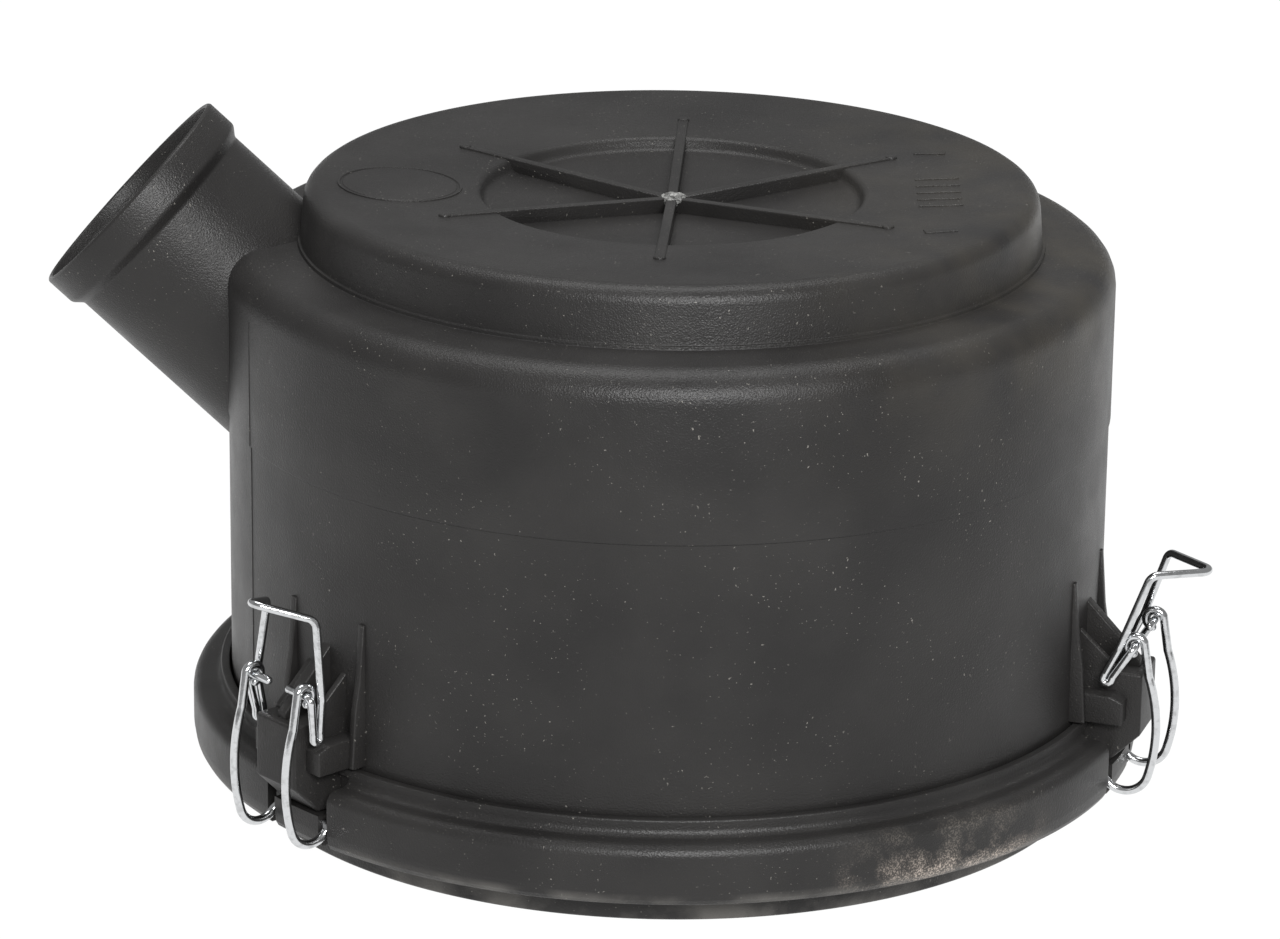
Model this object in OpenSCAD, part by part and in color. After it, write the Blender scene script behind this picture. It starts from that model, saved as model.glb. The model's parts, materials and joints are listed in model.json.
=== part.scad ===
// Round intake air filter housing: a deep bowl with a slanted inlet tube, held down on a
// flat base by three spring-wire clips, with a pleated element and a safety element inside.
// Origin: centre of the outlet bore on the mounting face, +Z towards the top of the bowl.

/* [Overall] */
// Outer radius of the bowl's wall
wall_r = 110.2; // [95:0.1:135]
// Height of the bowl's top edge above the mounting face
total_h = 152; // [135:0.5:185]
// Thickness of the moulded walls
shell_t = 3; // [2.4:0.1:3.6]

/* [Bowl] */
// Outward step half way up the wall
wall_step = 0.4; // [0.2:0.05:1]
// Distance of that step below the shoulder
wall_step_drop = 41.5; // [30:0.5:55]
// Outer rounding between wall and shoulder
shoulder_bend_r = 8; // [5:0.5:12]
// Rise of the shoulder from its rounding to the crown
shoulder_rise = 0.8; // [0:0.1:2]
// Radius of the raised crown at its foot
crown_r = 92.2; // [78:0.1:94]
// Height of the crown above the shoulder
crown_h = 14.4; // [11:0.1:18]
// How far the crown's side leans in
crown_draft = 1.3; // [0.5:0.1:2.5]
// Rounding of the crown's upper edge
crown_bend_r = 4.4; // [3.2:0.1:6]
// How far the top face falls from its edge to the recess
face_dish = 1.9; // [0.5:0.1:3]
// Radius of the round recess in the top
recess_r = 48; // [40:0.5:56]
// Depth of the recess at its edge
recess_depth = 3; // [2:0.1:4]
// Extra fall of the recess floor towards its centre
recess_dish = 2.6; // [1:0.1:4]

/* [Top ribs] */
// Number of ribs on the top
rib_count = 6; // [4:1:8]
// Direction of the first rib
rib_turn = 27.5; // [0:0.5:60]
// Length of each rib from the centre
rib_len = 63.5; // [58:0.5:72]
// Thickness of each rib
rib_t = 2.6; // [2:0.1:4]
// Height of a rib's outer end above the top face
rib_rise = 1.2; // [0.6:0.1:2.5]
// Height of the ribs at the centre above the recess floor
rib_hub_rise = 3.6; // [2:0.1:5]

/* [Inlet] */
// Place of the inlet seen from above
inlet_az = 176; // [170:0.1:178]
// Slope of the inlet above the horizontal
inlet_tilt = 42.3; // [38:0.1:48]
// Outer radius of the inlet tube
inlet_r = 28; // [22:0.1:29]
// Wall of the inlet tube
inlet_wall = 2.5; // [2:0.1:3]
// Outer radius of the hose collar at the mouth
inlet_collar_r = 30; // [29.2:0.1:32]
// Length of the hose collar
inlet_collar_len = 9; // [6:0.1:14]
// Distance of the mouth's centre outside the bowl's wall
inlet_reach = 26.1; // [24:0.1:36]
// Height of the mouth's centre above the shoulder
inlet_rise = 8.2; // [6:0.1:11]

/* [Base] */
// Height of the plain ring under the rim
ring_h = 8.4; // [7:0.1:12]
// Set-back of that ring from the bowl's wall
ring_inset = 1.7; // [1:0.1:2.5]
// Thickness of the floor
floor_t = 4; // [3:0.1:5]
// Overhang of the rim beyond the bowl's wall
rim_overhang = 9.8; // [9.4:0.1:13]
// Height of the rim's skirt
rim_h = 15.1; // [14:0.1:18]
// Rounding of the rim's upper edge
rim_bend_r = 3.1; // [2:0.1:4]
// Height of the lip around the bowl above the rim
lip_rise = 4; // [3:0.1:5]
// Gap between the bowl's wall and the lip
bowl_gap = 0.5; // [0.3:0.05:0.8]
// Height of the sealing cord under the bowl
seal_h = 3; // [2:0.1:4]
// Radius of the outlet bore
outlet_r = 27; // [22:0.1:28]
// Wall of the outlet neck
neck_t = 3; // [2.4:0.1:3.6]
// Height of the outlet neck above the mounting face
neck_h = 26; // [24:0.5:34]
// Pitch circle of the mounting holes
bolt_pcd = 188; // [180:1:190]
// Number of mounting holes
bolt_count = 4; // [3:1:6]
// Radius of the hole in a mounting sleeve
bolt_r = 4.3; // [3.2:0.1:4.6]
// Wall of a mounting sleeve
sleeve_t = 1.5; // [1:0.1:1.8]
// Height of the bosses around the sleeves
boss_h = 9; // [7:0.5:12]

/* [Clips] */
// Direction of the first clip
clip_az = 102; // [95:1:110]
// Half the width of the catch block
catch_w = 7.4; // [6:0.1:8]
// Reach of the catch block beyond the bowl's wall
catch_reach = 15.8; // [14:0.1:16]
// Wire radius of the hooks
hook_wire = 1.1; // [0.9:0.05:1.15]
// Half the distance between the two arms of a hook
hook_w = 10; // [9.8:0.1:10.2]
// Reach of a hook's arms beyond the bowl's wall
hook_reach = 20.4; // [20:0.1:22]
// Height of an arm's widest point
hook_mid_z = 27.1; // [26.5:0.1:28]
// Bend radius of an arm's long curve
hook_arc_r = 44; // [43:0.5:46]
// Bend radius of an arm's lower end
hook_end_r = 6; // [5.6:0.1:6.2]
// Wire radius of the handles
handle_wire = 1; // [0.8:0.05:1.05]
// Length of a handle's legs above the eyes
leg_len = 18.5; // [14:0.5:24]
// Length of the finger grip at a handle's top
grip_len = 14.1; // [10:0.5:18]
// Depth of the hairpin at a handle's foot
hairpin_len = 12.2; // [11.6:0.1:12.4]

/* [Element] */
// Outer radius of the element's end caps
cap_r = 83; // [78:0.5:86]
// Height of the lower end cap
low_cap_h = 12; // [10:0.5:14]
// Height of the upper end cap
top_cap_h = 6; // [5:0.5:9]
// Outer radius of the pleats
pleat_out_r = 79; // [74:0.5:79.4]
// Inner radius of the pleats
pleat_in_r = 46; // [45.4:0.5:52]
// Number of pleats
pleat_count = 60; // [40:2:72]
// Thickness of the sheet steel liners
liner_t = 0.8; // [0.6:0.1:1]
// Outer radius of the safety element
safety_r = 35.5; // [34:0.1:38]
// Thickness of the safety element's fleece
fleece_t = 4; // [3:0.1:5]

/* [Hidden] */

$fn = 96;

plastic = "#2b2a29";
wire_metal = "#c9cbcd";

// Bowl
shoulder_z = total_h - crown_h - shoulder_rise;
wall_step_z = shoulder_z - wall_step_drop;
upper_r = wall_r + wall_step;
face_r = crown_r - crown_draft - crown_bend_r;
face_z = total_h - face_dish;
recess_z = face_z - recess_depth;
recess_mid_z = recess_z - recess_dish;
recess_draft = 1.2;
foot_fillet = 1;

// Rim of the base
ring_r = wall_r - ring_inset;
rim_r = wall_r + rim_overhang;
rim_top = ring_h + rim_h;
lip_z = rim_top + lip_rise;
lip_in_r = wall_r + bowl_gap;
lip_t = 2.3;
lip_out_r = lip_in_r + lip_t;
rim_web = 2.8;
skirt_t = 2.7;
channel_z = ring_h + 2.6;
guide_r = wall_r - shell_t - bowl_gap;
guide_z = channel_z + 9;
bowl_foot_z = channel_z + seal_h;

// Hooks: a long arc, a tight arc at the lower end, and a hinge bar along the rim
eye_angle = 30;
arc_low_angle = -16;
end_angle = -155;
eye_ring_r = 2.3;
arc_u = wall_r + hook_reach - hook_arc_r;
end_u = arc_u + (hook_arc_r - hook_end_r) * cos(arc_low_angle);
end_z = hook_mid_z + (hook_arc_r - hook_end_r) * sin(arc_low_angle);
hinge_u = end_u + hook_end_r * cos(end_angle);
hinge_z = end_z + hook_end_r * sin(end_angle);
eye_u = arc_u + hook_arc_r * cos(eye_angle);
eye_z = hook_mid_z + hook_arc_r * sin(eye_angle);
arc_top_angle = eye_angle - 2 * asin(eye_ring_r / 2 / hook_arc_r);
bar_clear = 0.06;

// Handles, given as offsets from the eyes
leg_lean = -13;
grip_lean = 21;
right_handle_open = 22;
hairpin_u = -2.8;
handle_gap = 0.45;
ledge_gap = 0.3;
leg_low_w = hook_w + hook_wire + handle_gap + handle_wire;
leg_top_w = hook_w - 0.6;
hairpin_w = hook_w + hook_wire;
hairpin_half = 1.1;
pin_end_w = 4;

// Catches of the bowl and their pockets in the rim
catch_gap = 0.5;
pocket_z = hinge_z + hook_wire + 1.2;
catch_low_z = pocket_z + catch_gap;
catch_top_z = 40.4;
catch_bevel = 7.5;
ledge_z = eye_z - hairpin_len - handle_wire - ledge_gap;
ear_low_z = lip_z + 0.7;
ear_w = 12.4;
ear_reach = 12.2;
slot_half = hook_wire + 0.4;
slot_in_u = lip_out_r - 1;

// Element stack
neck_r = outlet_r + neck_t;
hold_r = 26;
hold_gap = 5;
media_low_z = floor_t + low_cap_h;
cap_top_z = recess_mid_z - shell_t - hold_gap;
media_top_z = cap_top_z - top_cap_h;
liner_in_r = pleat_in_r - 0.4;
guard_in_r = pleat_out_r + 0.4;
cap_hole_r = liner_in_r - liner_t - 1;
safety_low_z = media_low_z + 0.8;
safety_ring_h = 7;
safety_top_z = media_top_z - 16;
sleeve_r = bolt_r + sleeve_t;
boss_r = sleeve_r + 2.6;

function arc(cx, cy, r, a0, a1, n = 8) =
    [for (i = [0:n]) let (a = a0 + (a1 - a0) * i / n) [cx + r * cos(a), cy + r * sin(a)]];

// Places a piece at one clip: x points out of the wall, y along the rim, z up
module at_clip(i) {
    rotate([0, 0, clip_az + 120 * i]) children();
}

// A plate in the x-z plane between two places across the clip
module plate(y0, y1, outline) {
    translate([0, y1, 0]) rotate([90, 0, 0]) linear_extrude(y1 - y0) polygon(outline);
}

module rod(a, b, r) {
    v = b - a;
    translate(a) rotate([0, acos(v[2] / norm(v)), atan2(v[1], v[0])]) cylinder(r = r, h = norm(v), $fn = 32);
}

// Round wire through a list of points, with a ball at each corner
module wire(points, r) {
    for (i = [0:len(points) - 2]) rod(points[i], points[i + 1], r);
    for (i = [1:len(points) - 2]) translate(points[i]) sphere(r = r + 0.02, $fn = 32);
}

// Part of a ring of wire in the x-z plane, centred on (u, z)
module wire_arc(u, z, bend, r, a0, a1) {
    translate([u, 0, z]) rotate([90, 0, 0]) rotate([0, 0, a0])
        rotate_extrude(angle = a1 - a0) translate([bend, 0]) circle(r = r, $fn = 32);
}

module at_inlet() {
    rotate([0, 0, inlet_az]) translate([wall_r + inlet_reach, 0, shoulder_z + inlet_rise])
        rotate([0, 90 - inlet_tilt, 0]) children();
}

module bowl_outside() {
    rotate_extrude() polygon(concat(
        [[0, bowl_foot_z], [wall_r, bowl_foot_z], [wall_r, wall_step_z], [upper_r, wall_step_z + wall_step]],
        arc(upper_r - shoulder_bend_r, shoulder_z - shoulder_bend_r, shoulder_bend_r, 0, 90),
        arc(crown_r + foot_fillet, shoulder_z + shoulder_rise + foot_fillet, foot_fillet, 270, 180, 4),
        arc(face_r, total_h - crown_bend_r, crown_bend_r, 0, 90),
        [[recess_r, face_z], [recess_r - recess_draft, recess_z], [0, recess_mid_z]]
    ));
}

module bowl_inside() {
    rotate_extrude() polygon(concat(
        [[0, bowl_foot_z - 1], [wall_r - shell_t, bowl_foot_z - 1]],
        arc(upper_r - shoulder_bend_r, shoulder_z - shoulder_bend_r, shoulder_bend_r - shell_t, 0, 90),
        [[crown_r - shell_t, shoulder_z + shoulder_rise - shell_t]],
        arc(face_r - 1, total_h - crown_bend_r - 1, crown_bend_r - shell_t + 1, 0, 90, 4),
        [[recess_r + 1, face_z - shell_t], [recess_r - recess_draft, recess_z - shell_t],
         [0, recess_mid_z - shell_t]]
    ));
}

module top_rib() {
    nose = 2;
    plate(-rib_t / 2, rib_t / 2, concat(
        [[0, recess_mid_z - 1], [recess_r - 2, recess_z - 1], [rib_len - 6, face_z - 0.5],
         [rib_len, face_z - 0.5]],
        arc(rib_len - nose, face_z + rib_rise - nose, nose, 0, 90, 4),
        [[0, recess_mid_z + rib_hub_rise]]
    ));
}

// Catch block, gusset, ears and side ribs that one clip pulls down on
module catch() {
    u0 = wall_r - 1;
    u1 = wall_r + catch_reach;
    plate(-catch_w, catch_w, [
        [u0, catch_low_z], [u1 - catch_bevel, catch_low_z], [u1, catch_low_z + catch_bevel],
        [u1, catch_top_z], [u0, catch_top_z]
    ]);
    plate(-1.6, 1.6, [[u0, catch_top_z - 1], [u1 - 2, catch_top_z - 1], [u1 - 2, catch_top_z + 1.6], [u0, catch_top_z + 17]]);
    for (side = [-1, 1]) {
        plate(min(side * (catch_w - 0.5), side * ear_w), max(side * (catch_w - 0.5), side * ear_w), [
            [u0, ear_low_z], [wall_r + ear_reach, ear_low_z], [wall_r + ear_reach, ledge_z - 1.4],
            [wall_r + ear_reach - 3.2, ledge_z], [u0, ledge_z]
        ]);
        plate(side * (ear_w + 0.6) - 1, side * (ear_w + 0.6) + 1, [
            [u0, ear_low_z], [wall_r + 3.2, ear_low_z], [wall_r + 2.8, ledge_z + 15],
            [wall_r + 0.5, ledge_z + 29], [u0, ledge_z + 29]
        ]);
    }
}

module bowl() {
    color(plastic) difference() {
        union() {
            bowl_outside();
            at_inlet() {
                translate([0, 0, -84]) cylinder(r = inlet_r, h = 84);
                translate([0, 0, -inlet_collar_len]) cylinder(r = inlet_collar_r, h = inlet_collar_len);
            }
            for (i = [0:rib_count - 1]) rotate([0, 0, rib_turn + 360 * i / rib_count]) top_rib();
            for (i = [0:2]) at_clip(i) catch();
        }
        difference() {
            bowl_inside();
            cylinder(r = hold_r, h = total_h);
        }
        translate([0, 0, -1]) cylinder(r = hold_r - shell_t, h = recess_mid_z - shell_t + 1);
        translate([0, 0, -1]) cylinder(r = hold_r + 1, h = cap_top_z + 1);
        at_inlet() translate([0, 0, -76]) cylinder(r = inlet_r - inlet_wall, h = 80);
    }
}

module base_body() {
    rotate_extrude() polygon(concat(
        [[0, 0], [ring_r, 0], [ring_r, ring_h], [lip_out_r, ring_h], [lip_out_r, rim_top - rim_web],
         [rim_r - skirt_t, rim_top - rim_web], [rim_r - skirt_t, ring_h], [rim_r - 1.4, ring_h],
         [rim_r - 0.5, ring_h + 1], [rim_r, ring_h + 4]],
        arc(rim_r - rim_bend_r, rim_top - rim_bend_r, rim_bend_r, 0, 90),
        arc(lip_out_r + 2, rim_top + 2, 2, 270, 180, 5),
        [[lip_out_r, lip_z - 0.5], [lip_out_r - 0.5, lip_z], [lip_in_r, lip_z], [lip_in_r, channel_z],
         [guide_r, channel_z], [guide_r, guide_z], [guide_r - shell_t, guide_z],
         [guide_r - shell_t, floor_t], [0, floor_t]]
    ));
}

// Solid lug that carries a hook's hinge bar, between the two arm slots
module hinge_lug() {
    root_u = lip_in_r + 1;
    face_gap = 0.05;
    intersection() {
        plate(-hook_w, hook_w, [
            [root_u, ring_h + face_gap], [rim_r, ring_h + face_gap], [rim_r, pocket_z + 1],
            [root_u, pocket_z + 1]
        ]);
        rotate_extrude() translate([-face_gap, 0]) polygon([
            [root_u - 2, ring_h], [rim_r - 1.4, ring_h], [rim_r - 0.5, ring_h + 1], [rim_r, ring_h + 4],
            [rim_r, rim_top - rim_bend_r], [root_u - 2, rim_top - rim_bend_r]
        ]);
    }
}

module clip_cuts() {
    far = rim_r + 3;
    // pocket for the catch block and the arms above the lug
    plate(-catch_w - catch_gap, catch_w + catch_gap,
        [[wall_r - 2, pocket_z], [far, pocket_z], [far, lip_z + 1], [wall_r - 2, lip_z + 1]]);
    plate(-hook_w - slot_half, hook_w + slot_half,
        [[slot_in_u, pocket_z], [far, pocket_z], [far, rim_top + 2], [slot_in_u, rim_top + 2]]);
    // slots for the arms beside the lug
    for (side = [-1, 1]) plate(side * hook_w - slot_half, side * hook_w + slot_half,
        [[slot_in_u, ring_h - 1], [far, ring_h - 1], [far, pocket_z + 1], [slot_in_u, pocket_z + 1]]);
    translate([hinge_u, 0, hinge_z]) rotate([90, 0, 0])
        cylinder(r = hook_wire + bar_clear, h = 2 * hook_w, center = true);
}

module at_bolts() {
    for (i = [0:bolt_count - 1]) rotate([0, 0, 45 + 360 * i / bolt_count])
        translate([bolt_pcd / 2, 0, 0]) children();
}

module base() {
    color(plastic) difference() {
        union() {
            base_body();
            cylinder(r = neck_r, h = neck_h);
            at_bolts() cylinder(r = boss_r, h = boss_h);
            for (i = [0:2]) at_clip(i) hinge_lug();
        }
        translate([0, 0, -1]) cylinder(r = outlet_r, h = neck_h + 2);
        at_bolts() translate([0, 0, -1]) cylinder(r = sleeve_r, h = boss_h + 2, $fn = 48);
        for (i = [0:2]) at_clip(i) clip_cuts();
    }
}

module mounting_sleeves() {
    color(wire_metal) at_bolts() difference() {
        cylinder(r = sleeve_r, h = boss_h, $fn = 48);
        translate([0, 0, -1]) cylinder(r = bolt_r, h = boss_h + 2, $fn = 48);
    }
}

module housing_seal() {
    color("#161616") rotate_extrude() translate([wall_r - shell_t, channel_z])
        square([shell_t, seal_h]);
}

module element_media() {
    outline = [for (i = [0:2 * pleat_count - 1]) let (a = 180 * i / pleat_count, r = i % 2 == 0 ? pleat_out_r : pleat_in_r + 1.6)
        [r * cos(a), r * sin(a)]];
    inner = [for (i = [0:2 * pleat_count - 1]) let (a = 180 * i / pleat_count, r = i % 2 == 0 ? pleat_out_r - 1.6 : pleat_in_r)
        [r * cos(a), r * sin(a)]];
    color("#d9cfa8") translate([0, 0, media_low_z]) linear_extrude(media_top_z - media_low_z)
        difference() {
            polygon(outline);
            polygon(inner);
        }
}

module element_top_cap() {
    color("#b23a2e") translate([0, 0, media_top_z]) cylinder(r = cap_r, h = top_cap_h);
}

module element_bottom_cap() {
    color("#b23a2e") translate([0, 0, floor_t]) difference() {
        cylinder(r = cap_r, h = low_cap_h);
        translate([0, 0, -1]) cylinder(r = neck_r, h = low_cap_h + 2);
        translate([0, 0, low_cap_h - 3]) cylinder(r = cap_hole_r, h = 4);
    }
}

// Steel sleeve with rows of square windows
module liner(inner_r, columns, rows) {
    span = media_top_z - media_low_z;
    pitch = span / rows;
    window_w = 2 * PI * inner_r / columns * 0.6;
    difference() {
        translate([0, 0, media_low_z]) cylinder(r = inner_r + liner_t, h = span);
        translate([0, 0, media_low_z - 1]) cylinder(r = inner_r, h = span + 2);
        for (j = [0:rows - 1]) for (i = [0:columns - 1])
            rotate([0, 0, 360 * i / columns]) translate([inner_r - 1, -window_w / 2, media_low_z + pitch * (j + 0.2)])
                cube([liner_t + 2, window_w, pitch * 0.6]);
    }
}

module element_inner_liner() {
    color(wire_metal) liner(liner_in_r - liner_t, 10, 5);
}

module element_outer_guard() {
    color(wire_metal) liner(guard_in_r, 14, 5);
}

module safety_seal_ring() {
    color("#161616") translate([0, 0, safety_low_z]) difference() {
        cylinder(r = safety_r + 0.5, h = safety_ring_h);
        translate([0, 0, -1]) cylinder(r = neck_r, h = safety_ring_h + 2);
    }
}

module safety_fleece() {
    low = safety_low_z + safety_ring_h;
    color("#e4e2da") translate([0, 0, low]) difference() {
        cylinder(r = safety_r, h = safety_top_z - low);
        translate([0, 0, -1]) cylinder(r = safety_r - fleece_t, h = safety_top_z - low + 2);
    }
}

module safety_end_cap() {
    color("#3f4a46") translate([0, 0, safety_top_z]) cylinder(r = safety_r + 0.5, h = 4);
}

// Wire bail: two bowed arms with eyes on top, joined by the hinge bar in the rim
module hook() {
    color(wire_metal) {
        for (side = [-1, 1]) translate([0, side * hook_w, 0]) {
            wire_arc(eye_u, eye_z, eye_ring_r, hook_wire, 0, 360);
            wire_arc(arc_u, hook_mid_z, hook_arc_r, hook_wire, arc_low_angle, arc_top_angle);
            wire_arc(end_u, end_z, hook_end_r, hook_wire, end_angle, arc_low_angle);
            translate([hinge_u, 0, hinge_z]) sphere(r = hook_wire + 0.02, $fn = 32);
            translate([arc_u + hook_arc_r * cos(arc_low_angle), 0, hook_mid_z + hook_arc_r * sin(arc_low_angle)])
                sphere(r = hook_wire + 0.02, $fn = 32);
        }
        rod([hinge_u, -hook_w, hinge_z], [hinge_u, hook_w, hinge_z], hook_wire);
    }
}

// Wire lever: finger grip, two legs, a hairpin at each foot and a pin through each eye
module handle(open) {
    leg_top = [leg_len * sin(leg_lean), leg_top_w, leg_len * cos(leg_lean)];
    grip = [leg_top[0] + grip_len * cos(grip_lean), 0, leg_top[2] + grip_len * sin(grip_lean)];
    points = [
        grip, leg_top,
        [-3.2, leg_low_w, -1.5],
        [hairpin_u - hairpin_half, hairpin_w, hairpin_half - hairpin_len],
        [hairpin_u, hairpin_w, -hairpin_len],
        [hairpin_u + hairpin_half, hairpin_w, hairpin_half - hairpin_len],
        [0, leg_low_w, 0], [0, pin_end_w, 0]
    ];
    color(wire_metal) translate([eye_u, 0, eye_z]) rotate([0, open, 0]) {
        wire(points, handle_wire);
        mirror([0, 1, 0]) wire(points, handle_wire);
        translate(grip) sphere(r = handle_wire + 0.02, $fn = 32);
    }
}

module hook_back() {
    at_clip(0) hook();
}

module hook_left() {
    at_clip(1) hook();
}

module hook_right() {
    at_clip(2) hook();
}

module handle_back() {
    at_clip(0) handle(0);
}

module handle_left() {
    at_clip(1) handle(0);
}

module handle_right() {
    at_clip(2) handle(right_handle_open);
}

bowl();
base();
housing_seal();
mounting_sleeves();
element_media();
element_top_cap();
element_bottom_cap();
element_inner_liner();
element_outer_guard();
safety_fleece();
safety_end_cap();
safety_seal_ring();
hook_back();
hook_left();
hook_right();
handle_back();
handle_left();
handle_right();
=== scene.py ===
"""Looks of a round air filter housing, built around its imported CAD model. Lengths are in millimetres."""

import json
from math import atan2, cos, hypot, pi, radians, sin, tan

import bmesh
import bpy
from mathutils import Matrix, Vector, noise


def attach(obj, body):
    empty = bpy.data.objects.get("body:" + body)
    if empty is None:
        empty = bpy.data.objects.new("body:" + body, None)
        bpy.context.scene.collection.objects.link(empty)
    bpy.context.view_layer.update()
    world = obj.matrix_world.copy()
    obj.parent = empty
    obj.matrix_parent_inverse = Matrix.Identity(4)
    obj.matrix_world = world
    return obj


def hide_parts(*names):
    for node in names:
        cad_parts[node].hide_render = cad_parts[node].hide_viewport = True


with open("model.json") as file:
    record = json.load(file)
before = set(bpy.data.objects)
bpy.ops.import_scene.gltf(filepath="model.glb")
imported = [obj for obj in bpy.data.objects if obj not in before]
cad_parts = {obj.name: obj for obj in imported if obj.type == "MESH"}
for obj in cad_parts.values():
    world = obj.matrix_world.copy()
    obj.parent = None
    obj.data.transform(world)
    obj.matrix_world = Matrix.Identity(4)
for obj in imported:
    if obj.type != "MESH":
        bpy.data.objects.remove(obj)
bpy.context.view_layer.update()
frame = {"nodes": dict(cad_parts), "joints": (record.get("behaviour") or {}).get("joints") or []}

MM = 0.001
SEGMENTS = 360
SHARP_ANGLE = radians(32)

# Bowl
WALL_R = 110.2
UPPER_R = 110.6
STEP_Z = 95.3
SHELL = 3.0
FOOT_Z = 14.0
SHOULDER_Z = 136.8
SHOULDER_BEND = 8.0
CROWN_FOOT_R = 92.2
CROWN_FOOT_Z = 137.6
CROWN_TOP_R = 90.9
CROWN_BEND = 4.4
TOP_Z = 152.0
FACE_Z = 150.1
RECESS_R = 48.0
RECESS_EDGE_Z = 147.1
RECESS_MID_Z = 144.5
HOLD_R = 26.0
HOLD_Z = 136.5

# Ribs on the top
RIB_COUNT = 6
RIB_TURN = 27.5
RIB_LEN = 63.5
RIB_HALF = 1.3
RIB_END_Z = 151.3
RIB_HUB_Z = 148.1

# Inlet tube
INLET_AZ = 176.0
INLET_TILT = 42.3
INLET_OUT = WALL_R + 26.1
INLET_Z = 145.0
TUBE_R = 28.0
BORE_R = 25.5
MOUTH_R = 28.4
COLLAR_R = 30.0
COLLAR_LEN = 9.0
TUBE_LEN = 84.0

# Raised shapes on the top
BADGE_PLACE = (-67.4, -2.6)
BAR_X = 66
BAR_YS = (9, 3, -3, -9, -15)
BAR_LEN = 11
BAR_WIDTH = 0.5

# Mould marks
PARTING_AZ = 202.5
PARTING_RISE = 0.14
PARTING_LOW_Z = 30.0
PARTING_TOP_Z = 127.0
PARTING_HALF = 0.25
GATE_R = 2.9

# Base
RING_R = 108.5
RING_H = 8.4
RIM_R = 119.97
RIM_TOP = 23.5
RIM_BEND = 3.1
SKIRT = 2.7
RIM_WEB = 2.8
LIP_IN = 110.7
LIP_OUT = 113.0
LIP_Z = 27.5
CHANNEL_Z = 11.0
GUIDE_R = 106.7
GUIDE_Z = 20.0
FLOOR = 4.0
NECK_IN = 27.0
NECK_OUT = 30.0
NECK_H = 26.0
BOLT_COUNT = 4
BOLT_TURN = 45
BOLT_R = 94.0
SLEEVE_R = 5.8
BOSS_R = 8.4
BOSS_H = 9.0

# Clips
CLIPS = ("back", "left", "right")
HOOK_WIRE = 1.1
HOOK_HALF = 10.0
HOOK_ARC = 44.0
HOOK_MID_Z = 27.1
HOOK_END_ARC = 6.0
HOOK_LOW_ANGLE = radians(-16)
HOOK_END_ANGLE = radians(-155)
EYE_ANGLE = radians(30)
EYE_RING = 2.3
EYE_NECK = 8.5
EYE_CURL_START = radians(8)
EYE_CURL = radians(232)
HOOK_CORNER = 1.7
HANDLE_WIRE = 1.0
HANDLE_OPEN = {"back": 0, "left": 0, "right": 22}
LEG_FOOT_HALF = 12.55
HAIRPIN_HALF = 11.1
HAIRPIN_NEAR = -1.7
HAIRPIN_FAR = -3.9
HAIRPIN_KNEE_Z = -9.8
HAIRPIN_LOW_Z = -12.2
PIN_END = 4
GRIP_CORNER = (-4.16, 9.4, 18.03)
GRIP_TIP = (9.0, 0, 23.08)
POCKET_Z = 16.39
POCKET_HALF = 7.9
SLOT_HALF = 1.5
CATCH_HALF = 7.4
CATCH_REACH = 126.0
CATCH_TOP = 40.4
CATCH_BEVEL = 7.5
CATCH_ROOT = WALL_R - 1.2
GUSSET_HALF = 1.6
GUSSET_RISE = 17
LEDGE_Z = 35.6
EAR_LOW_Z = 28.2
EAR_HALF = 12.4
EAR_REACH = WALL_R + 12.2
CHEEK_REACH = WALL_R + 10
CHEEK_RISE = 11
CHEEK_HALF = 0.9
SIDE_RIB_HALF = 1
SIDE_RIB_TOP = LEDGE_Z + 29

# Stage, in metres and watts
WORLD_LIGHT = 0.3
LIGHT_TARGET = (0, 0, 0.08)
KEY_PLACE = (0.21, -1.5, 0.88)
KEY_SIZE = (0.7, 0.35)
KEY_POWER = 31
OVERHEAD_PLACE = (-0.1, 0.3, 2.0)
OVERHEAD_SIZE = (1.4, 1.0)
OVERHEAD_POWER = 22
FLOOR_HALF = 4
FLOOR_Z = -0.0002

# Camera, in metres and degrees
CAMERA_PLACE = (0, -1.3597, 0.5397)
CAMERA_LENS = 160.24
CAMERA_SENSOR = 36
CAMERA_DOWN = 18.81
CAMERA_TURN = 0.298
CAMERA_ROLL = 0.715


def rounded(points, closed=True, steps=6):
    """Points with rounded corners. Each item is a place, followed by its bend radius where it has one."""
    size = 2 if closed else 3
    out = []
    for i, point in enumerate(points):
        corner = Vector(point[:size])
        radius = point[size] if len(point) > size else 0
        if radius == 0:
            out.append(corner)
            continue
        back = (Vector(points[i - 1][:size]) - corner).normalized()
        ahead = (Vector(points[(i + 1) % len(points)][:size]) - corner).normalized()
        half = back.angle(ahead) / 2
        middle = corner + (back + ahead).normalized() * radius / sin(half)
        start = corner + back * radius / tan(half) - middle
        end = corner + ahead * radius / tan(half) - middle
        turn = pi - 2 * half
        for k in range(steps + 1):
            share = k / steps
            out.append(middle + (start * sin((1 - share) * turn) + end * sin(share * turn)) / sin(turn))
    return out


def solid(rings):
    """Closed mesh over a loop of rings of points in millimetres. A ring of one point is a pole."""
    shape = bmesh.new()
    loops = [[shape.verts.new(Vector(p) * MM) for p in ring] for ring in rings]
    count = max(len(loop) for loop in loops)
    for near, far in zip(loops, loops[1:] + loops[:1]):
        if len(near) == 1 and len(far) == 1:
            continue
        for k in range(count):
            n = (k + 1) % count
            corners = (near[k % len(near)], far[k % len(far)], far[n % len(far)], near[n % len(near)])
            shape.faces.new(list(dict.fromkeys(corners)))
    bmesh.ops.recalc_face_normals(shape, faces=shape.faces)
    return shape


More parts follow.
